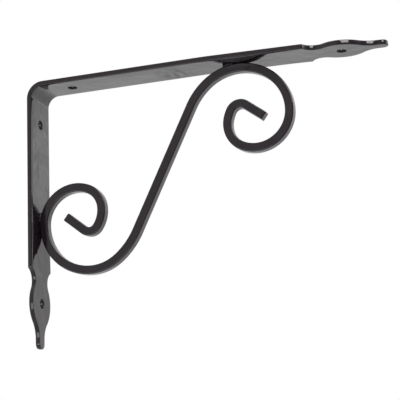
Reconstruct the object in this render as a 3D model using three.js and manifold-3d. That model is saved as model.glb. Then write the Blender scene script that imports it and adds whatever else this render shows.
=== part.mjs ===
// Scroll shelf bracket, in millimetres.
// A flat bar is bent to a right angle: one arm lies on the wall, the other carries the shelf.
// Each arm ends in a spear point and has two screw holes. An S scroll of square bar braces the
// corner and is welded where it touches each arm.
// Frame: X points out from the wall, Z points up, Y runs along the wall. The origin is on the
// wall face of the wall arm, on its centreline, midway between its two screw holes.

import * as THREE from 'three';
import { mergeVertices } from 'three/addons/utils/BufferGeometryUtils.js';
import Module from 'manifold-3d';

const manifold = await Module();
manifold.setup();

// Flat bar
const barWidth = 25;
const barThickness = 3;
const shelfArmLength = 220;
const wallArmLength = 161;
const bendInnerRadius = 7;

// The shelf arm dips a little beyond the weld, by this many degrees
const droopStart = 114;
const droopAngle = 1.3;

// Spear points, measured from the shoulder where the full width ends
const waistFromShoulder = 7;
const notchDepth = 4.6;
const bellyFromShoulder = 20;
const bellyInset = 0.9;
const neckWidth = 6.6;
const neckFilletRadius = 14;
const neckStraight = 2.6;

// Screw holes, measured from the outer corner. The other two are in the spears' bellies.
const screwHoleDiameter = 5.5;
const shelfCornerHole = 24.8;
const wallCornerHole = 23.8;

// Scroll of square bar. Its bends run from the long diagonal inwards, and each radius is that
// of the bar's inside face.
const rodSize = 5;
const diagonalLength = 79;
const diagonalSlope = 63.1;
const upperSweepRadius = 35.7;
const upperCrownRadius = 28.7;
const upperShoulderRadius = 25.3;
const upperCoilRadius = 17.7;
const upperTurnInRadius = 3.7;
const upperFlatRadius = 23.2;
const upperHookRadius = 4.2;
const upperTail = 13.2;
const lowerSweepRadius = 41.7;
const lowerFootRadius = 25.3;
const lowerBellyRadius = 27.7;
const lowerCoilRadius = 18.3;
const lowerCrownRadius = 14.9;
const lowerTurnInRadius = 11.2;
const lowerFlatRadius = 19.3;
const lowerHookRadius = 4;
const lowerTail = 13.8;

// Each bend's turn in degrees
const upperBends = [
  { inside: upperSweepRadius, turn: 25 },
  { inside: upperCrownRadius, turn: 83.3 },
  { inside: upperShoulderRadius, turn: 45 },
  { inside: upperCoilRadius, turn: 140 },
  { inside: upperTurnInRadius, turn: 30 },
  { inside: upperFlatRadius, turn: 28.4 },
  { inside: upperHookRadius, turn: 109 },
];
const lowerBends = [
  { inside: lowerSweepRadius, turn: 25 },
  { inside: lowerFootRadius, turn: 38.3 },
  { inside: lowerBellyRadius, turn: 90 },
  { inside: lowerCoilRadius, turn: 90 },
  { inside: lowerCrownRadius, turn: 45 },
  { inside: lowerTurnInRadius, turn: 45 },
  { inside: lowerFlatRadius, turn: 24.8 },
  { inside: lowerHookRadius, turn: 104.3 },
];

// Weld beads, in the wedge between the scroll and each arm, on the side of the corner
const touchGap = 0.3;
const weldThinEdge = 0.15;
const weldThickEdge = 1.4;
const weldInset = 0.3;

// Smoothness of curves
const facetTurn = 4;
const facetLength = 2;
const holeFacets = 28;

const halfWidth = barWidth / 2;
const halfRod = rodSize / 2;
const degrees = Math.PI / 180;

// A curve's points from one angle to another, in degrees, about a centre
function arcPoints(centre, radius, from, to) {
  const steps = Math.max(2, Math.ceil(Math.abs(to - from) / facetTurn));
  const points = [];
  for (let i = 0; i <= steps; i += 1) {
    const angle = (from + ((to - from) * i) / steps) * degrees;
    points.push(new THREE.Vector2(
      centre.x + radius * Math.cos(angle),
      centre.y + radius * Math.sin(angle),
    ));
  }
  return points;
}

// Angle in degrees of the line from one point to another
function bearing(from, to) {
  return Math.atan2(to.y - from.y, to.x - from.x) / degrees;
}

// The spear's edge on one side, from the shoulder (0, half width) to the tip on the centreline.
// A hollow notch runs into a round belly, which a hollow fillet draws down to a narrow neck.
function spearEdge() {
  const waist = halfWidth - notchDepth;
  const belly = halfWidth - bellyInset;
  const neck = neckWidth / 2;
  const notchRadius = (waistFromShoulder ** 2 + notchDepth ** 2) / (2 * notchDepth);
  const notch = new THREE.Vector2(waistFromShoulder, waist + notchRadius);

  // The belly's radius is the one whose arc touches the notch's arc
  const along = bellyFromShoulder - waistFromShoulder;
  const above = notch.y - belly;
  const bellyRadius = (along ** 2 + above ** 2 - notchRadius ** 2) / (2 * (notchRadius - above));
  const bellyCentre = new THREE.Vector2(bellyFromShoulder, belly - bellyRadius);

  // The fillet's centre is where its arc touches both the belly and the neck
  const filletHeight = neck + neckFilletRadius;
  const reach = bellyRadius + neckFilletRadius;
  const rise = filletHeight - bellyCentre.y;
  const fillet = new THREE.Vector2(bellyFromShoulder + Math.sqrt(reach ** 2 - rise ** 2), filletHeight);

  const shoulder = new THREE.Vector2(0, halfWidth);
  const tipCentre = new THREE.Vector2(fillet.x + neckStraight, 0);
  const notchArc = arcPoints(notch, notchRadius, bearing(notch, shoulder), bearing(notch, bellyCentre));
  const bellyArc = arcPoints(bellyCentre, bellyRadius, bearing(bellyCentre, notch), bearing(bellyCentre, fillet));
  const filletArc = arcPoints(fillet, neckFilletRadius, bearing(fillet, bellyCentre), -90);
  const tipArc = arcPoints(tipCentre, neck, 90, 0);
  return [...notchArc, ...bellyArc.slice(1), ...filletArc.slice(1), ...tipArc];
}

const spear = spearEdge();
const spearLength = spear[spear.length - 1].x;

// An arm seen square on: u runs from the outer corner to the tip, v across the bar
function armOutline(length, cornerHole) {
  const shoulder = length - spearLength;
  const near = spear.map((point) => new THREE.Vector2(shoulder + point.x, -point.y));
  const far = spear.slice(0, -1).reverse().map((point) => new THREE.Vector2(shoulder + point.x, point.y));
  const overhang = barThickness;
  const shape = new THREE.Shape([
    new THREE.Vector2(-overhang, -halfWidth),
    ...near,
    ...far,
    new THREE.Vector2(-overhang, halfWidth),
  ]);
  for (const along of [cornerHole, shoulder + bellyFromShoulder]) {
    const hole = new THREE.Path();
    hole.absarc(along, 0, screwHoleDiameter / 2, 0, 2 * Math.PI);
    shape.holes.push(hole);
  }
  return shape;
}

// Height of the shelf face, with the origin midway between the wall arm's two holes
const wallSpearHole = wallArmLength - spearLength + bellyFromShoulder;
const shelfFace = (wallCornerHole + wallSpearHole) / 2;
const wallArmTip = shelfFace - wallArmLength;

// How far the shelf arm has dipped at a distance from the wall, beyond the given place
function dip(x, start) {
  return Math.max(0, x - start) * Math.tan(droopAngle * degrees);
}

// Height of the shelf arm's underside, whose droop starts a little nearer than the top's
const underDroopStart = droopStart - barThickness * Math.tan((droopAngle / 2) * degrees);

function underside(x) {
  return shelfFace - barThickness - dip(x, underDroopStart);
}

// The flat bar seen from its edge: an L with a round bend
function sideOutline() {
  const outerRadius = bendInnerRadius + barThickness;
  const centre = new THREE.Vector2(outerRadius, shelfFace - outerRadius);
  return new THREE.Shape([
    new THREE.Vector2(0, wallArmTip),
    new THREE.Vector2(barThickness, wallArmTip),
    ...arcPoints(centre, bendInnerRadius, 180, 90),
    new THREE.Vector2(underDroopStart, underside(underDroopStart)),
    new THREE.Vector2(shelfArmLength, underside(shelfArmLength)),
    new THREE.Vector2(shelfArmLength, shelfFace - dip(shelfArmLength, droopStart)),
    new THREE.Vector2(droopStart, shelfFace),
    ...arcPoints(centre, outerRadius, 90, 180),
  ]);
}

// Extrudes an outline and turns it so that its own x, y and depth run along the given axes
function extruded(shape, depth, alongX, alongY, alongDepth, corner) {
  const geometry = new THREE.ExtrudeGeometry(shape, {
    depth,
    bevelEnabled: false,
    curveSegments: holeFacets / 2,
  });
  const turn = new THREE.Matrix4().makeBasis(alongX, alongY, alongDepth);
  geometry.applyMatrix4(turn.setPosition(corner));
  return geometry;
}

const out = new THREE.Vector3(1, 0, 0);
const side = new THREE.Vector3(0, 1, 0);
const up = new THREE.Vector3(0, 0, 1);
const down = up.clone().negate();
const nearSide = side.clone().negate();

// An outline in the XZ plane, given a width across the bar and centred on it
function acrossBar(shape, width) {
  return extruded(shape, width, out, up, nearSide, new THREE.Vector3(0, width / 2, 0));
}

function toSolid(geometry) {
  const bare = geometry.clone();
  bare.deleteAttribute('normal');
  bare.deleteAttribute('uv');
  const merged = mergeVertices(bare, 1e-4);
  const mesh = new manifold.Mesh({
    numProp: 3,
    vertProperties: new Float32Array(merged.attributes.position.array),
    triVerts: new Uint32Array(merged.index.array),
  });
  return new manifold.Manifold(mesh);
}

function toGeometry(solid) {
  const mesh = solid.getMesh();
  const geometry = new THREE.BufferGeometry();
  geometry.setAttribute('position', new THREE.BufferAttribute(mesh.vertProperties, 3));
  geometry.setIndex(new THREE.BufferAttribute(mesh.triVerts, 1));
  geometry.computeVertexNormals();
  return geometry;
}

// The bent bar is what its edge view, its shelf view and its wall view have in common
function flatBarGeometry() {
  const margin = barThickness;
  const fromEdge = acrossBar(sideOutline(), barWidth);
  const fromShelf = extruded(
    armOutline(shelfArmLength, shelfCornerHole),
    wallArmLength + 2 * margin,
    out, side, up,
    new THREE.Vector3(0, 0, wallArmTip - margin),
  );
  const fromWall = extruded(
    armOutline(wallArmLength, wallCornerHole),
    shelfArmLength + 2 * margin,
    down, side, out,
    new THREE.Vector3(-margin, 0, shelfFace),
  );
  return toGeometry(toSolid(fromEdge).intersect(toSolid(fromShelf)).intersect(toSolid(fromWall)));
}

// Stations along the middle of the rod, each with its point and heading, for a run of bends
// that all turn to the right and a straight tail
function bentRun(start, heading, bends, tail) {
  const stations = [{ point: start, heading }];
  let point = start;
  let angle = heading;
  for (const { inside, turn } of bends) {
    const radius = inside + halfRod;
    const centre = new THREE.Vector2(
      point.x + radius * Math.sin(angle * degrees),
      point.y - radius * Math.cos(angle * degrees),
    );
    const length = radius * turn * degrees;
    const steps = Math.ceil(Math.max(turn / facetTurn, length / facetLength));
    for (let i = 1; i <= steps; i += 1) {
      const now = angle - (turn * i) / steps;
      point = new THREE.Vector2(
        centre.x - radius * Math.sin(now * degrees),
        centre.y + radius * Math.cos(now * degrees),
      );
      stations.push({ point, heading: now });
    }
    angle -= turn;
  }
  const end = new THREE.Vector2(
    point.x + tail * Math.cos(angle * degrees),
    point.y + tail * Math.sin(angle * degrees),
  );
  stations.push({ point: end, heading: angle });
  return stations;
}

// A point beside a station, on its left by the given distance
function beside(station, distance) {
  return new THREE.Vector2(
    station.point.x - distance * Math.sin(station.heading * degrees),
    station.point.y + distance * Math.cos(station.heading * degrees),
  );
}

// The whole rod: the upper volute from the diagonal's top, and the lower one from its foot,
// joined into one run that goes from the upper tail to the lower tail
function scrollStations() {
  const top = new THREE.Vector2(0, 0);
  const foot = new THREE.Vector2(
    -diagonalLength * Math.cos(diagonalSlope * degrees),
    -diagonalLength * Math.sin(diagonalSlope * degrees),
  );
  const upper = bentRun(top, diagonalSlope, upperBends, upperTail);
  const lower = bentRun(foot, diagonalSlope + 180, lowerBends, lowerTail);
  const reversed = upper.reverse().map(({ point, heading }) => ({ point, heading: heading + 180 }));
  return { stations: [...reversed, ...lower], split: reversed.length };
}

// Index of the station, from one up to another, whose side face comes nearest to something
function nearest(stations, from, to, distance, gap) {
  let best = from;
  for (let i = from; i < to; i += 1) {
    if (gap(beside(stations[i], distance)) < gap(beside(stations[best], distance))) best = i;
  }
  return best;
}

function moved(stations, x, y) {
  const shift = new THREE.Vector2(x, y);
  return stations.map(({ point, heading }) => ({ point: point.clone().add(shift), heading }));
}

// Sets the scroll in the corner: the lower volute touches the wall arm, and then the upper
// volute touches the shelf arm from below
function placedScroll() {
  const { stations, split } = scrollStations();
  const toWall = (point) => point.x - barThickness;
  const toShelf = (point) => underside(point.x) - point.y;
  const lowerTouch = nearest(stations, split, stations.length, halfRod, toWall);
  const out = touchGap - toWall(beside(stations[lowerTouch], halfRod));
  const againstWall = moved(stations, out, 0);
  const upperTouch = nearest(againstWall, 0, split, -halfRod, toShelf);
  const rise = toShelf(beside(againstWall[upperTouch], -halfRod)) - touchGap;
  return { stations: moved(againstWall, 0, rise), upperTouch, lowerTouch };
}

const scroll = placedScroll();

function scrollGeometry() {
  const left = scroll.stations.map((station) => beside(station, halfRod));
  const right = scroll.stations.map((station) => beside(station, -halfRod));
  return acrossBar(new THREE.Shape([...left, ...right.reverse()]), rodSize);
}

// A weld bead fills the wedge between the rod and an arm. It follows the rod's outer face away
// from the place where they touch, from where the wedge is thin to where it is thick.
// depth tells how far a point lies off the arm's face, and onFace puts a point on that face.
function weldGeometry(touch, outerSide, depth, onFace) {
  const alongRod = [];
  for (let i = touch; depth(beside(scroll.stations[i], outerSide)) < weldThickEdge; i += 1) {
    const point = beside(scroll.stations[i], outerSide);
    if (depth(point) > weldThinEdge) alongRod.push(point);
  }
  const ends = [alongRod[alongRod.length - 1], alongRod[0]];
  const shape = new THREE.Shape([...alongRod, ...ends.map(onFace)]);
  return acrossBar(shape, rodSize - 2 * weldInset);
}

function upperWeldGeometry() {
  return weldGeometry(
    scroll.upperTouch, -halfRod - touchGap,
    (point) => underside(point.x) - touchGap - point.y,
    (point) => new THREE.Vector2(point.x, underside(point.x) - touchGap),
  );
}

function lowerWeldGeometry() {
  const face = barThickness + touchGap;
  return weldGeometry(
    scroll.lowerTouch, halfRod + touchGap,
    (point) => point.x - face,
    (point) => new THREE.Vector2(face, point.y),
  );
}

const paint = { color: 0x141214, roughness: 0.28, metalness: 0 };

function painted(name, geometry) {
  const mesh = new THREE.Mesh(geometry, new THREE.MeshStandardMaterial(paint));
  mesh.name = name;
  return mesh;
}

const bracket = new THREE.Group();
bracket.add(
  painted('flat_bar', flatBarGeometry()),
  painted('scroll', scrollGeometry()),
  painted('upper_weld', upperWeldGeometry()),
  painted('lower_weld', lowerWeldGeometry()),
);

export default bracket;
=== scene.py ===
import bpy
import numpy as np
from mathutils import Matrix, Vector
from mathutils.geometry import delaunay_2d_cdt


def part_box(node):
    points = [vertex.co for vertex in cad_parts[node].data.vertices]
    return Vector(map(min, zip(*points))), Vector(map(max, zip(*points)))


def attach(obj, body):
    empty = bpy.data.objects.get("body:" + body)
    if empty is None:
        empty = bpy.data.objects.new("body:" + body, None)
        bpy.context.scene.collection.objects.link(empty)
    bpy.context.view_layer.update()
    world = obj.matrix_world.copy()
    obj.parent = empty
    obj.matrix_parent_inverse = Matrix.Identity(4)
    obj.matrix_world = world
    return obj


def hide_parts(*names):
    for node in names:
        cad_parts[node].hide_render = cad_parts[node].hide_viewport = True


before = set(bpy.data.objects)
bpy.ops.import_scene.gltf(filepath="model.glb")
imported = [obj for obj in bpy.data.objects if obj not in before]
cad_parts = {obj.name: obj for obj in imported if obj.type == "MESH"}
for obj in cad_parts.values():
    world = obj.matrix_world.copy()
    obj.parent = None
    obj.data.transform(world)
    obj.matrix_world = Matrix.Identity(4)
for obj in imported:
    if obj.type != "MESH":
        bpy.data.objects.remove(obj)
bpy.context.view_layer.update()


# Flat bar. One length of 25 by 3 mm flat steel: both ends are punched to spear points and drilled,
# then the bar is bent cold to a right angle, with one arm on the wall and one under the shelf.
# Its edges are a little round, and the heat of welding has let the shelf arm dip beyond the scroll.
bar_low, bar_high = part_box("flat_bar")
half_width = (bar_high.y - bar_low.y) / 2
shelf_arm = bar_high.x
shelf_top = bar_high.z
wall_arm = bar_high.z - bar_low.z
bar_thickness = 0.003
bend_inside = 0.007
dip_start = 0.114
dip_slope = np.tan(np.radians(1.3))
dip_softness = 0.004
hole_radius = 0.00275
hole_edge_radius = 0.0005
shelf_corner_hole = 0.0248
wall_corner_hole = 0.0238
spear_hole = 0.020

bend_outside = bend_inside + bar_thickness
bend_middle = bend_inside + bar_thickness / 2
bend_length = bend_middle * np.pi / 2
wall_straight = wall_arm - bend_outside
bar_length = wall_straight + bend_length + shelf_arm - bend_outside
# How far along the unbent bar the wall face would lie, for places measured out from the wall
shelf_from = wall_straight + bend_length - bend_outside


def arc(centre, radius, start, end, step=3.0):
    """Points on a circle about the centre, from one angle to another in degrees."""
    count = int(np.ceil(abs(end - start) / step)) + 1
    angle = np.radians(np.linspace(start, end, count))
    return np.asarray(centre) + radius * np.stack([np.cos(angle), np.sin(angle)], 1)


def bearing(origin, point):
    """Angle in degrees of the line from one point to another."""
    return np.degrees(np.arctan2(point[1] - origin[1], point[0] - origin[0]))


def spear_edge():
    """Half of a spear's edge, from its shoulder to its tip.

    A hollow notch arc meets a round belly arc, which meets a hollow fillet arc down to the neck,
    and the tip is a half circle. Each arc touches the next, which gives the belly's radius and
    the fillet's centre.
    """
    notch_x, notch_depth = 0.007, 0.0046
    belly_x, belly_inset = spear_hole, 0.0009
    neck, neck_fillet, neck_straight = 0.0033, 0.014, 0.0026
    notch_radius = (notch_x**2 + notch_depth**2) / (2 * notch_depth)
    notch = np.array([notch_x, half_width - notch_depth + notch_radius])
    belly = half_width - belly_inset
    along, above = belly_x - notch_x, notch[1] - belly
    belly_radius = (along**2 + above**2 - notch_radius**2) / (2 * (notch_radius - above))
    belly_centre = np.array([belly_x, belly - belly_radius])
    rise = neck + neck_fillet - belly_centre[1]
    run = np.sqrt((belly_radius + neck_fillet) ** 2 - rise**2)
    fillet = np.array([belly_x + run, neck + neck_fillet])
    shoulder = bearing(notch, (0, half_width))
    notch_end, belly_start = bearing(notch, belly_centre), bearing(belly_centre, notch)
    belly_end, fillet_start = bearing(belly_centre, fillet), bearing(fillet, belly_centre)
    return np.vstack([
        arc(notch, notch_radius, shoulder, notch_end),
        arc(belly_centre, belly_radius, belly_start, belly_end)[1:],
        arc(fillet, neck_fillet, fillet_start, -90)[1:],
        arc((fillet[0] + neck_straight, 0), neck, 90, 0),
    ])


def evenly(loop, spacing):
    """The same closed loop with its points an even distance apart."""
    closed = np.vstack([loop, loop[:1]])
    along = np.concatenate([[0], np.cumsum(np.linalg.norm(np.diff(closed, axis=0), axis=1))])
    at = np.linspace(0, along[-1], int(along[-1] / spacing), endpoint=False)
    return np.stack([np.interp(at, along, closed[:, 0]), np.interp(at, along, closed[:, 1])], 1)


def softened(loop, times):
    """A closed loop with its corners rounded: each point moves halfway to its neighbours' middle."""
    for _ in range(times):
        loop = loop / 2 + (np.roll(loop, 1, 0) + np.roll(loop, -1, 0)) / 4
    return loop


def flat_outline():
    """The bar's edge before bending: x runs from the wall arm's tip, y across, steel on the left."""
    point_spacing = 0.0004
    spear = spear_edge()
    spear_length = spear[-1, 0]
    wall_end = np.stack([spear_length - spear[:, 0], -spear[:, 1]], 1)[::-1]
    shelf_end = np.stack([bar_length - spear_length + spear[:, 0], -spear[:, 1]], 1)
    near = np.vstack([wall_end, shelf_end])
    far = near[-2:0:-1] * [1, -1]
    return softened(evenly(np.vstack([near, far]), point_spacing), 2), spear_length


def rounded_edge(loop, upper, lower):
    """The bar's edge along a closed loop: a ring on the outer face, a rounded corner, the side, and
    the same again to the inner face.

    upper and lower give each corner's reach and depth at each point. The corner is a quarter of an
    ellipse: reach * (1 - sin a) in from the loop, square to it, and depth * (1 - cos a) below the
    face. The rings keep the faces beside the corners flat.
    """
    ring_width = 0.0002
    ahead = np.roll(loop, -1, 0) - np.roll(loop, 1, 0)
    inward = np.stack([-ahead[:, 1], ahead[:, 0]], 1) / np.linalg.norm(ahead, axis=1)[:, None]
    a = np.linspace(0, np.pi / 2, 9)
    inset, height = [], []
    for (reach, depth), side in ((upper, 1), (lower, -1)):
        reach, depth = (np.broadcast_to(v, len(loop))[:, None] for v in (reach, depth))
        inset.append(np.hstack([reach + ring_width, reach * (1 - np.sin(a))])[:, ::side])
        drop = np.hstack([0 * depth, depth * (1 - np.cos(a))])
        height.append((side * (bar_thickness / 2 - drop))[:, ::side])
    flat = loop[:, None] + np.hstack(inset)[:, :, None] * inward[:, None]
    return np.dstack([flat, np.hstack(height)])


def corner_sizes(along, spear_length):
    """Reach and depth of the rounding on the outer and inner face, for places along the bar.

    Every corner is a little round. On the inner face of the straight parts it is wide and low,
    and it narrows towards the spears' shoulders over fade_length. The punch has rolled the spears'
    outer edges over, which grows from the shoulders over roll_length.
    """
    fade_length, roll_length = 0.010, 0.003
    corner_reach, outer_depth, inner_depth = 0.0005, 0.0004, 0.0003
    more_reach_rolled, more_depth_rolled = 0.0001, 0.0014
    more_reach_wide, more_depth_wide = 0.0010, 0.0002
    inside = np.minimum(along, bar_length - along) - spear_length
    wide = np.clip(inside / fade_length, 0, 1)
    rolled = np.clip(-inside / roll_length, 0, 1)
    outer = (corner_reach + more_reach_rolled * rolled, outer_depth + more_depth_rolled * rolled)
    inner = (corner_reach + more_reach_wide * wide, inner_depth + more_depth_wide * wide)
    return outer, inner


def ring_quads(rows, columns, first):
    """Faces of a grid whose rows close into a ring, numbered from the first vertex on."""
    i, k = np.meshgrid(np.arange(rows), np.arange(columns - 1), indexing="ij")
    j = (i + 1) % rows
    quads = np.stack([i * columns + k, i * columns + k + 1, j * columns + k + 1, j * columns + k], 2)
    return quads.reshape(-1, 4) + first


def face_field(outline, hole_places):
    """Points over the bar's faces: an even field that is closer together along the bend, and that
    stays clear of the bar's edges and of the holes."""
    spacing, bend_spacing, bend_margin = 0.003, 0.0009, 0.002
    half_field, rows_across = 0.011, 9
    edge_clearance, hole_clearance = 0.0025, 0.001
    bend_end = wall_straight + bend_length
    stations = np.concatenate([
        np.arange(0, wall_straight - bend_margin, spacing),
        np.arange(wall_straight - bend_margin, bend_end + bend_margin, bend_spacing),
        np.arange(bend_end + 2 * bend_margin, bar_length, spacing),
    ])
    across = np.linspace(-half_field, half_field, rows_across)
    x, y = (a.ravel() for a in np.meshgrid(stations, across, indexing="ij"))
    side = outline[outline[:, 1] > 0]
    side = side[np.argsort(side[:, 0])]
    clear = np.abs(y) < np.interp(x, side[:, 0], side[:, 1]) - edge_clearance
    for place in hole_places:
        clear &= np.hypot(x - place, y) > hole_radius + hole_clearance
    return np.stack([x, y], 1)[clear]


def face_triangles(rims, field):
    """Triangles over a face between its rims, the outline first and then the holes, through the
    field's points. One with all its corners on the same hole's rim lies in the hole, and is left
    out."""
    inside_only, same_point = 1, 1e-6
    counts = [len(rim) for rim in rims]
    rounds = [end - count + np.arange(count) for count, end in zip(counts, np.cumsum(counts))]
    edges = np.vstack([np.stack([around, np.roll(around, -1)], 1) for around in rounds])
    millimetres = np.vstack([*rims, field]) * 1000
    made = delaunay_2d_cdt(millimetres.tolist(), edges.tolist(), [], inside_only, same_point)
    triangles = np.array(made[3])[:, 0][np.array(made[2])]
    rim_number = np.append(np.repeat(np.arange(len(rims)), counts), np.zeros(len(field), int))
    of_rim = rim_number[triangles]
    in_a_hole = (of_rim[:, 0] > 0) & (of_rim == of_rim[:, :1]).all(1)
    return triangles[~in_a_hole]


def bent(points):
    """The straight bar bent round its corner, then let down where the shelf arm dips.

    Distance along the bar becomes height up the wall, then angle = distance / middle radius round
    the corner, then distance from the wall. The dip is the slope times the distance beyond its
    start, blended in over twice the softness by a parabola.
    """
    along, across, out = points[:, 0], points[:, 1], points[:, 2]
    turn = np.clip((along - wall_straight) / bend_middle, 0, np.pi / 2)
    x = bend_outside - (bend_middle + out) * np.cos(turn)
    x += np.maximum(along - wall_straight - bend_length, 0)
    z = shelf_top - bend_outside + (bend_middle + out) * np.sin(turn)
    z += np.minimum(along - wall_straight, 0)
    past = x - dip_start
    blend = np.clip(past + dip_softness, 0, 2 * dip_softness) ** 2 / (4 * dip_softness)
    z -= dip_slope * (blend + np.maximum(past - dip_softness, 0))
    return np.stack([x, across, z], 1)


def flat_bar_mesh():
    """Vertices and faces of the flat bar: rounded edges round the outline and the four holes, and
    the same triangles over both faces between them."""
    outline, spear_length = flat_outline()
    hole_places = np.array([
        spear_length - spear_hole,
        wall_arm - wall_corner_hole,
        shelf_from + shelf_corner_hole,
        bar_length - spear_length + spear_hole,
    ])
    drilled = (hole_edge_radius, hole_edge_radius)
    grids = [rounded_edge(outline, *corner_sizes(outline[:, 0], spear_length))]
    for place in hole_places:
        rim = arc((place, 0), hole_radius, 360, 0, step=6)[:-1]
        grids.append(rounded_edge(rim, drilled, drilled))
    field = face_field(outline, hole_places)
    triangles = face_triangles([grid[:, 0, :2] for grid in grids], field)

    columns = grids[0].shape[1]
    starts = np.cumsum([0] + [len(grid) * columns for grid in grids])
    rims = [start + np.arange(len(grid)) * columns for start, grid in zip(starts, grids)]
    on_rims = np.concatenate(rims)
    in_field = starts[-1] + np.arange(len(field))
    upper_index = np.concatenate([on_rims, in_field])
    lower_index = np.concatenate([on_rims + columns - 1, in_field + len(field)])
    upper = np.column_stack([field, np.full(len(field), bar_thickness / 2)])
    lower = upper * [1, 1, -1]
    points = np.vstack([grid.reshape(-1, 3) for grid in grids] + [upper, lower])
    quads = [ring_quads(len(grid), columns, start) for start, grid in zip(starts, grids)]
    faces = np.vstack(quads).tolist()
    faces += upper_index[triangles].tolist() + lower_index[triangles[:, ::-1]].tolist()
    return bent(points), faces


def steel_piece(name, points, faces, material):
    """A named mesh object at the origin, smooth all over, that rides with the bracket."""
    mesh = bpy.data.meshes.new(name)
    mesh.from_pydata(points.tolist(), [], faces)
    mesh.validate()
    mesh.shade_smooth()
    piece = bpy.data.objects.new(name, mesh)
    bpy.context.scene.collection.objects.link(piece)
    mesh.materials.append(material)
    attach(piece, "root")
    return piece


def black_paint():
    """Gloss black paint over steel: near black, with faint clouds of colour, a sheen that is
    duller in patches, and a dull streaky smear under the shelf arm. Its surface has wide waves,
    soft runs where the paint has settled, and a fine orange peel."""
    dark_black, light_black = (0.0090, 0.0058, 0.0084, 1), (0.0124, 0.0082, 0.0116, 1)
    glossy, dull, smear_dullness = 0.07, 0.17, 0.30
    smear_place = (0.089, 0.001, 0.0755)
    smear_heart, smear_edge = 0.006, 0.016
    material = bpy.data.materials.new("gloss_black_paint")
    material.use_nodes = True
    nodes, links = material.node_tree.nodes, material.node_tree.links
    paint = nodes["Principled BSDF"]
    place = nodes.new("ShaderNodeTexCoord")

    def clouds(lumps, detail, share=(1, 1, 1)):
        """A cloud pattern with so many lumps a metre, times its share along each axis."""
        mapping = nodes.new("ShaderNodeMapping")
        mapping.inputs["Scale"].default_value = share
        links.new(place.outputs["Object"], mapping.inputs["Vector"])
        pattern = nodes.new("ShaderNodeTexNoise")
        pattern.inputs["Scale"].default_value = lumps
        pattern.inputs["Detail"].default_value = detail
        links.new(mapping.outputs["Vector"], pattern.inputs["Vector"])
        return pattern.outputs["Fac"]

    def spread(value, low, high, bottom, top):
        """A value carried from low and high to bottom and top, and held at its ends."""
        node = nodes.new("ShaderNodeMapRange")
        node.inputs["From Min"].default_value = low
        node.inputs["From Max"].default_value = high
        node.inputs["To Min"].default_value = bottom
        node.inputs["To Max"].default_value = top
        links.new(value, node.inputs["Value"])
        return node.outputs["Result"]

    def joined(operation, first, second):
        """Two values added or multiplied."""
        node = nodes.new("ShaderNodeMath")
        node.operation = operation
        links.new(first, node.inputs[0])
        links.new(second, node.inputs[1])
        return node.outputs["Value"]

    def relief(pattern, height, strength, under=None):
        """The surface's tilt where a pattern raises it by a height in metres, over another relief."""
        node = nodes.new("ShaderNodeBump")
        node.inputs["Strength"].default_value = strength
        node.inputs["Distance"].default_value = height
        links.new(pattern, node.inputs["Height"])
        if under is not None:
            links.new(under, node.inputs["Normal"])
        return node.outputs["Normal"]

    tint = nodes.new("ShaderNodeMix")
    tint.data_type = "RGBA"
    tint.inputs["A"].default_value = dark_black
    tint.inputs["B"].default_value = light_black
    mottle = spread(clouds(90, detail=3), low=0.35, high=0.65, bottom=0, top=1)
    links.new(mottle, tint.inputs["Factor"])
    links.new(tint.outputs["Result"], paint.inputs["Base Color"])

    from_smear = nodes.new("ShaderNodeVectorMath")
    from_smear.operation = "DISTANCE"
    from_smear.inputs[1].default_value = smear_place
    links.new(place.outputs["Object"], from_smear.inputs[0])
    reach = spread(from_smear.outputs["Value"], smear_heart, smear_edge, smear_dullness, 0)
    across_bar = clouds(330, detail=2, share=(1, 0.3, 1))
    streaks = spread(across_bar, low=0.35, high=0.6, bottom=0.25, top=1)
    down_wall = clouds(70, detail=4, share=(1, 1, 0.5))
    patches = spread(down_wall, low=0.4, high=0.75, bottom=glossy, top=dull)
    links.new(joined("ADD", joined("MULTIPLY", reach, streaks), patches), paint.inputs["Roughness"])
    paint.inputs["IOR"].default_value = 1.5

    waves = relief(clouds(36, detail=0.5), height=0.0012, strength=0.6)
    runs = relief(clouds(110, detail=1), height=0.0004, strength=0.6, under=waves)
    peel = relief(clouds(700, detail=2), height=0.00006, strength=0.35, under=runs)
    links.new(peel, paint.inputs["Normal"])
    return material


paint = black_paint()
flat_bar = steel_piece("flat_bar_painted", *flat_bar_mesh(), paint)
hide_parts("flat_bar")


# Scroll. One length of 5 mm square bar, bent cold round formers to an S with a hooked volute at
# each end, its ends cut off square. It stands in the corner and touches both arms.
scroll_low, scroll_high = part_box("scroll")
half_rod = (scroll_high.y - scroll_low.y) / 2
rod_corner = 0.0006
paint_film = 0.00012
diagonal = 0.079
diagonal_slope = np.radians(63.1)
upper_tail = 0.0135
lower_tail = 0.0146
# Each bend's inside radius and turn in degrees, from the diagonal inwards
upper_bends = np.array([
    (0.0357, 25), (0.0287, 83.3), (0.0253, 45), (0.0179, 109.3), (0.0130, 86.9), (0.0211, 9.8),
    (0.0038, 100.9),
])
lower_bends = np.array([
    (0.0417, 25), (0.0253, 38.3), (0.0277, 90), (0.0180, 90.6), (0.0184, 25), (0.0112, 54.5),
    (0.0149, 45.9), (0.0032, 92.7),
])


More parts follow.
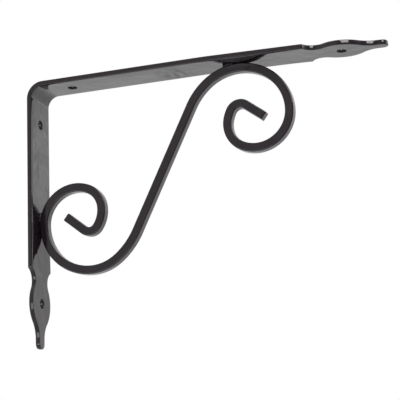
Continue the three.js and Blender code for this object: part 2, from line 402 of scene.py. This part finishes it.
def bent_line(start, heading, bends, tail):
    """The middle line of a run of bends that all turn right and a straight tail, and the heading
    along it.

    A step of length s in a bend of radius r turns by s / r, and its chord is s * sin(h) / h long,
    h being half its turn, and points midway between the headings at its ends.
    """
    most_turn, most_length, tail_steps = np.radians(3), 0.0008, 16
    radius = bends[:, 0] + half_rod
    turn = np.radians(bends[:, 1])
    count = np.ceil(np.maximum(turn / most_turn, radius * turn / most_length)).astype(int)
    step = np.append(np.repeat(radius * turn / count, count), np.full(tail_steps, tail / tail_steps))
    half_turn = np.append(np.repeat(turn / count, count), np.zeros(tail_steps)) / 2
    headings = heading - np.concatenate([[0], np.cumsum(2 * half_turn)])
    middle = (headings[:-1] + headings[1:]) / 2
    chord = step * np.sinc(half_turn / np.pi)
    steps = chord[:, None] * np.stack([np.cos(middle), np.sin(middle)], 1)
    return start + np.vstack([np.zeros((1, 2)), np.cumsum(steps, 0)]), headings


def scroll_line():
    """The whole scroll's middle line from the upper tail to the lower one, set in the CAD's box."""
    straight_points = 78
    top = np.zeros(2)
    foot = -diagonal * np.array([np.cos(diagonal_slope), np.sin(diagonal_slope)])
    upper, upper_heading = bent_line(top, diagonal_slope, upper_bends, upper_tail)
    lower, lower_heading = bent_line(foot, diagonal_slope + np.pi, lower_bends, lower_tail)
    between = top + (foot - top) * np.linspace(0, 1, straight_points + 2)[1:-1, None]
    line = np.vstack([upper[::-1], between, lower])
    heading = np.concatenate([
        upper_heading[::-1] + np.pi,
        np.full(straight_points, diagonal_slope + np.pi),
        lower_heading,
    ])
    sides = half_rod * np.stack([-np.sin(heading), np.cos(heading)], 1)
    low = np.minimum(line + sides, line - sides).min(0)
    high = np.maximum(line + sides, line - sides).max(0)
    line = line + [scroll_low.x - low[0], scroll_high.z - high[1]]
    return line, heading


def square_section(half, corner):
    """A square with round corners, as points out from the middle line, all the way round.

    A point close beside each corner keeps the sides flat.
    """
    beside_corner = 0.0002
    angle = np.linspace(0, np.pi / 2, 6)
    inner = half - corner
    quarter = np.stack([inner + corner * np.cos(angle), inner + corner * np.sin(angle)], 1)
    near = min(beside_corner, inner / 3)
    quarter = np.vstack([[half, 0], [half, inner - near], quarter, [inner - near, half]])
    turns = [np.array([[c, s], [-s, c]]) for c, s in ((1, 0), (0, 1), (-1, 0), (0, -1))]
    return np.vstack([quarter @ turn for turn in turns])


def closed_tube_faces(rows, columns):
    """Faces of a tube of rings, closed by fans about two centres: the two vertices that follow the
    last ring's, for the first ring and for the last."""
    i, j = np.meshgrid(np.arange(rows - 1), np.arange(columns), indexing="ij")
    k = (j + 1) % columns
    here, below = i * columns, (i + 1) * columns
    quads = np.stack([here + j, here + k, below + k, below + j], 2).reshape(-1, 4)
    j = np.arange(columns)
    k = (j + 1) % columns
    centre, last_ring = rows * columns, (rows - 1) * columns
    head = np.stack([np.full(columns, centre), k, j], 1)
    foot = np.stack([np.full(columns, centre + 1), last_ring + j, last_ring + k], 1)
    return quads.tolist() + head.tolist() + foot.tolist()


def rod_mesh(line, heading):
    """The square section carried along a line, and drawn in over the rounded edges of both ends.

    The ends' rings move in by corner * (1 - cos a) from the cut, and their section is smaller
    by corner * (1 - sin a) all round, with one smaller ring flat on the cut.
    """
    ring_width = 0.0002
    a = np.linspace(0, np.pi / 2, 5)[:-1]
    forward = np.stack([np.cos(heading), np.sin(heading)], 1)
    advance = np.concatenate([[0], rod_corner * (1 - np.cos(a))])
    shrink = np.concatenate([[rod_corner + ring_width], rod_corner * (1 - np.sin(a))])
    head = line[0] + advance[:, None] * forward[0]
    foot = (line[-1] - advance[:, None] * forward[-1])[::-1]
    body = line[1:-1]
    middle = np.vstack([head, body, foot])
    headings = np.concatenate([
        np.full(len(head), heading[0]),
        heading[1:-1],
        np.full(len(foot), heading[-1]),
    ])
    insets = np.concatenate([shrink, np.zeros(len(body)), shrink[::-1]])
    full = square_section(half_rod + paint_film, rod_corner)
    small = square_section(half_rod + paint_film - shrink[0], rod_corner / 3)
    share = (insets / shrink[0])[:, None, None]
    sections = full * (1 - share) + small * share
    left = np.stack([-np.sin(headings), np.cos(headings)], 1)
    flat = middle[:, None] + sections[:, :, :1] * left[:, None]
    points = np.dstack([flat[:, :, 0], -sections[:, :, 1], flat[:, :, 1]])
    centres = np.array([[line[0, 0], 0, line[0, 1]], [line[-1, 0], 0, line[-1, 1]]])
    return np.vstack([points.reshape(-1, 3), centres]), closed_tube_faces(*points.shape[:2])


scroll_middle, scroll_heading = scroll_line()
scroll = steel_piece("scroll_painted", *rod_mesh(scroll_middle, scroll_heading), paint)
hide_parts("scroll")


# Weld beads. A short run of weld fills the wedge between the scroll and each arm, on the side of
# the corner. It is lumpy, sunk into both bars and painted over with them.
bead_half_width = 0.0030
bead_sink = 0.0003
# Where each bead starts and ends along its arm, and the bound that leaves the inner coil out
upper_bead_x = (0.1213, 0.1295)
upper_bead_above = 0.070
lower_bead_z = (-0.0070, 0.0004)
lower_bead_reach = 0.008


def bead_mesh(rod_edge, arm_edge, seed):
    """A lumpy bead between a line of points on the rod and one on the arm, which run from one end
    of the wedge to the other.

    Round the bead the section is a squared oval, (|cos b|^s + |sin b|^s)^(-1/s) out in direction
    b, with s its squareness. Along the bead the section swells and shrinks with two sines, a slow
    one and a quick one, and closes at both ends as the root of 1 - p^6, p running from -1 to 1.
    hand turns the faces outwards on either side of the corner.
    """
    rng = np.random.default_rng(seed)
    rows, columns = 40, 32
    squareness = 2.5
    slow_lumps, slow_swell = 2.6, 0.07
    quick_lumps, quick_swell = 6.1, 0.03
    a = (1 - np.cos(np.pi * (np.arange(1, rows + 1) / (rows + 1)))) / 2
    b = 2 * np.pi * np.arange(columns) / columns
    at = np.linspace(0, 1, len(rod_edge))
    rod = np.stack([np.interp(a, at, rod_edge[:, 0]), np.interp(a, at, rod_edge[:, 1])], 1)
    arm = np.stack([np.interp(a, at, arm_edge[:, 0]), np.interp(a, at, arm_edge[:, 1])], 1)
    middle = (rod + arm) / 2
    across = (arm - rod) / 2
    reach = np.linalg.norm(across, axis=1)
    across = across / reach[:, None]
    ahead = middle[-1] - middle[0]
    hand = np.sign(ahead[1] * across[0, 0] - ahead[0] * across[0, 1])
    close = (1 - (2 * a - 1) ** 6) ** 0.5
    lumps = 1 + slow_swell * np.sin(2 * np.pi * (slow_lumps * a + rng.random()))
    lumps = lumps + quick_swell * np.sin(2 * np.pi * (quick_lumps * a + rng.random()))
    tall = (reach + bead_sink) * close
    wide = bead_half_width * close * lumps
    oval = np.abs(np.cos(b)) ** squareness + np.abs(np.sin(b)) ** squareness
    squared = oval ** (-1 / squareness)
    up = tall[:, None] * (squared * np.cos(b))
    side = hand * wide[:, None] * (squared * np.sin(b))
    flat = middle[:, None] + up[:, :, None] * across[:, None]
    points = np.dstack([flat[:, :, 0], side, flat[:, :, 1]]).reshape(-1, 3)
    ends = np.array([[middle[0, 0], 0, middle[0, 1]], [middle[-1, 0], 0, middle[-1, 1]]])
    return np.vstack([points, ends]), closed_tube_faces(rows, columns)


def rod_side(side, low, high, axis):
    """Points on the scroll's left side (1) or right side (-1) on the way down from the upper tail,
    seen from the front, between two values of x (axis 0) or z (axis 1)."""
    outward = np.stack([-np.sin(scroll_heading), np.cos(scroll_heading)], 1)
    edge = scroll_middle + side * half_rod * outward
    return edge[(edge[:, axis] > low) & (edge[:, axis] < high)]


upper_edge = rod_side(-1, *upper_bead_x, axis=0)
upper_edge = upper_edge[upper_edge[:, 1] > upper_bead_above]
upper_edge = upper_edge[np.argsort(-upper_edge[:, 0])]
upper_face = bent(np.column_stack([
    upper_edge[:, 0] + shelf_from,
    np.zeros(len(upper_edge)),
    np.full(len(upper_edge), -bar_thickness / 2),
]))[:, [0, 2]]
upper_bead = steel_piece("upper_weld_bead", *bead_mesh(upper_edge, upper_face, seed=3), paint)
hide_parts("upper_weld")

lower_edge = rod_side(1, *lower_bead_z, axis=1)
lower_edge = lower_edge[lower_edge[:, 0] < lower_bead_reach]
lower_edge = lower_edge[np.argsort(lower_edge[:, 1])]
lower_face = np.column_stack([np.full(len(lower_edge), bar_thickness), lower_edge[:, 1]])
lower_bead = steel_piece("lower_weld_bead", *bead_mesh(lower_edge, lower_face, seed=5), paint)
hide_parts("lower_weld")


# Floor and light: a pale matt floor well below the bracket, and a white studio with a small soft
# window and three soft lights: high in front, low in front on the left, and on the right. The
# floor is left out of the gloss paint's reflections, which show the studio's own lower half.
floor_half, floor_level = 9.0, -1.2
floor_grey, floor_roughness = (0.85, 0.85, 0.85, 1), 0.9
floor_mesh = bpy.data.meshes.new("floor")
signs = ((-1, -1), (1, -1), (1, 1), (-1, 1))
corners = [(x * floor_half, y * floor_half, floor_level) for x, y in signs]
floor_mesh.from_pydata(corners, [], [(0, 1, 2, 3)])
floor = bpy.data.objects.new("floor", floor_mesh)
bpy.context.scene.collection.objects.link(floor)
floor_paint = bpy.data.materials.new("floor_matt")
floor_paint.use_nodes = True
matt = floor_paint.node_tree.nodes["Principled BSDF"]
matt.inputs["Base Color"].default_value = floor_grey
matt.inputs["Roughness"].default_value = floor_roughness
floor_mesh.materials.append(floor_paint)
floor.visible_glossy = False


def studio():
    """The white studio round the bracket, as brightness over the directions it is seen in.

    It is bright behind the bracket and dimmer behind the camera, more so on the right than on the
    left, with smooth steps along the direction's x and y. A small round window at the back adds
    its light over a soft edge. The camera itself sees plain white.
    """
    left_front, right_front, behind = 0.62, 0.25, 1.1
    left_to_right = (-0.28, -0.13)
    front_to_behind = (-0.55, 0.3)
    window_direction = (0.428, 0.870, 0.245)
    window_reach, window_brightness = 0.06, 0.6
    world = bpy.data.worlds.new("studio")
    world.use_nodes = True
    nodes, links = world.node_tree.nodes, world.node_tree.links
    direction = nodes.new("ShaderNodeTexCoord")
    axes = nodes.new("ShaderNodeSeparateXYZ")
    links.new(direction.outputs["Generated"], axes.inputs["Vector"])

    def step(value, start, end, before, after):
        """A smooth change from one brightness to another between two places on an axis."""
        node = nodes.new("ShaderNodeMapRange")
        node.interpolation_type = "SMOOTHSTEP"
        node.inputs["From Min"].default_value = start
        node.inputs["From Max"].default_value = end
        node.inputs["To Min"].default_value = before
        node.inputs["To Max"].default_value = after
        links.new(value, node.inputs["Value"])
        return node

    front = step(axes.outputs["X"], *left_to_right, left_front, right_front)
    # The link below puts the front's brightness in place of the 0
    depth = step(axes.outputs["Y"], *front_to_behind, 0, behind)
    links.new(front.outputs["Result"], depth.inputs["To Min"])
    from_window = nodes.new("ShaderNodeVectorMath")
    from_window.operation = "DISTANCE"
    from_window.inputs[1].default_value = window_direction
    links.new(direction.outputs["Generated"], from_window.inputs[0])
    window = step(from_window.outputs["Value"], 0, window_reach, window_brightness, 0)
    walls = nodes.new("ShaderNodeMath")
    walls.operation = "ADD"
    links.new(depth.outputs["Result"], walls.inputs[0])
    links.new(window.outputs["Result"], walls.inputs[1])
    rays = nodes.new("ShaderNodeLightPath")
    seen = nodes.new("ShaderNodeMix")
    seen.inputs["B"].default_value = 1.0
    links.new(rays.outputs["Is Camera Ray"], seen.inputs["Factor"])
    links.new(walls.outputs["Value"], seen.inputs["A"])
    links.new(seen.outputs["Result"], nodes["Background"].inputs["Strength"])
    nodes["Background"].inputs["Color"].default_value = (1, 1, 1, 1)
    return world


bpy.context.scene.world = studio()
bpy.context.scene.view_settings.view_transform = "Standard"


def soft_light(name, place, aim, width, height, radiance):
    """A rectangular light that faces a point. Its power is pi * area * radiance."""
    data = bpy.data.lights.new(name, "AREA")
    data.shape = "RECTANGLE"
    data.size = width
    data.size_y = height
    data.energy = np.pi * width * height * radiance
    light = bpy.data.objects.new(name, data)
    light.location = place
    light.rotation_euler = (Vector(aim) - Vector(place)).to_track_quat("-Z", "Y").to_euler()
    light.visible_camera = False
    bpy.context.scene.collection.objects.link(light)


soft_light(
    "high_soft_light",
    place=(0.47, -0.75, 0.85), aim=(0.15, 0, 0.05), width=0.5, height=0.95, radiance=8,
)
soft_light(
    "low_soft_light",
    place=(-0.62, -2.0, -0.38), aim=(0.1, 0, 0.03), width=1.5, height=0.8, radiance=3,
)
soft_light(
    "right_soft_light",
    place=(1.46, 0.56, 0.42), aim=(0.05, 0, 0.0), width=0.7, height=0.7, radiance=2.5,
)


# Camera: below the shelf arm and to the right, looking up into the corner. It stands at the place,
# turn and field of view that carry the bracket's corners, tips and holes onto the photograph's.
# The offset says where the camera has the point origin_lift above the origin: right, up and back.
camera_turn = np.radians(19.295)
camera_rise = np.radians(-13.252)
camera_roll = np.radians(-2.0446)
camera_offset = np.array([-0.0982396, -0.00812665, -0.848721])
origin_lift = 0.0002
focal_pixels = 1410.487
image_pixels = 400
sensor = 36.0

right = np.array([np.cos(camera_turn), np.sin(camera_turn), 0.0])
back = np.array([
    np.sin(camera_turn) * np.cos(camera_rise),
    -np.cos(camera_turn) * np.cos(camera_rise),
    np.sin(camera_rise),
])
up = np.cross(back, right)
cos_roll, sin_roll = np.cos(camera_roll), np.sin(camera_roll)
axes = np.array([cos_roll * right + sin_roll * up, cos_roll * up - sin_roll * right, back])
camera_data = bpy.data.cameras.new("camera")
camera_data.sensor_width = sensor
camera_data.lens = focal_pixels / image_pixels * sensor
camera_data.clip_start = 0.01
camera = bpy.data.objects.new("camera", camera_data)
bpy.context.scene.collection.objects.link(camera)
matrix = np.eye(4)
matrix[:3, :3] = axes.T
matrix[:3, 3] = -axes.T @ camera_offset + [0, 0, origin_lift]
camera.matrix_world = Matrix(matrix.tolist())
bpy.context.scene.camera = camera
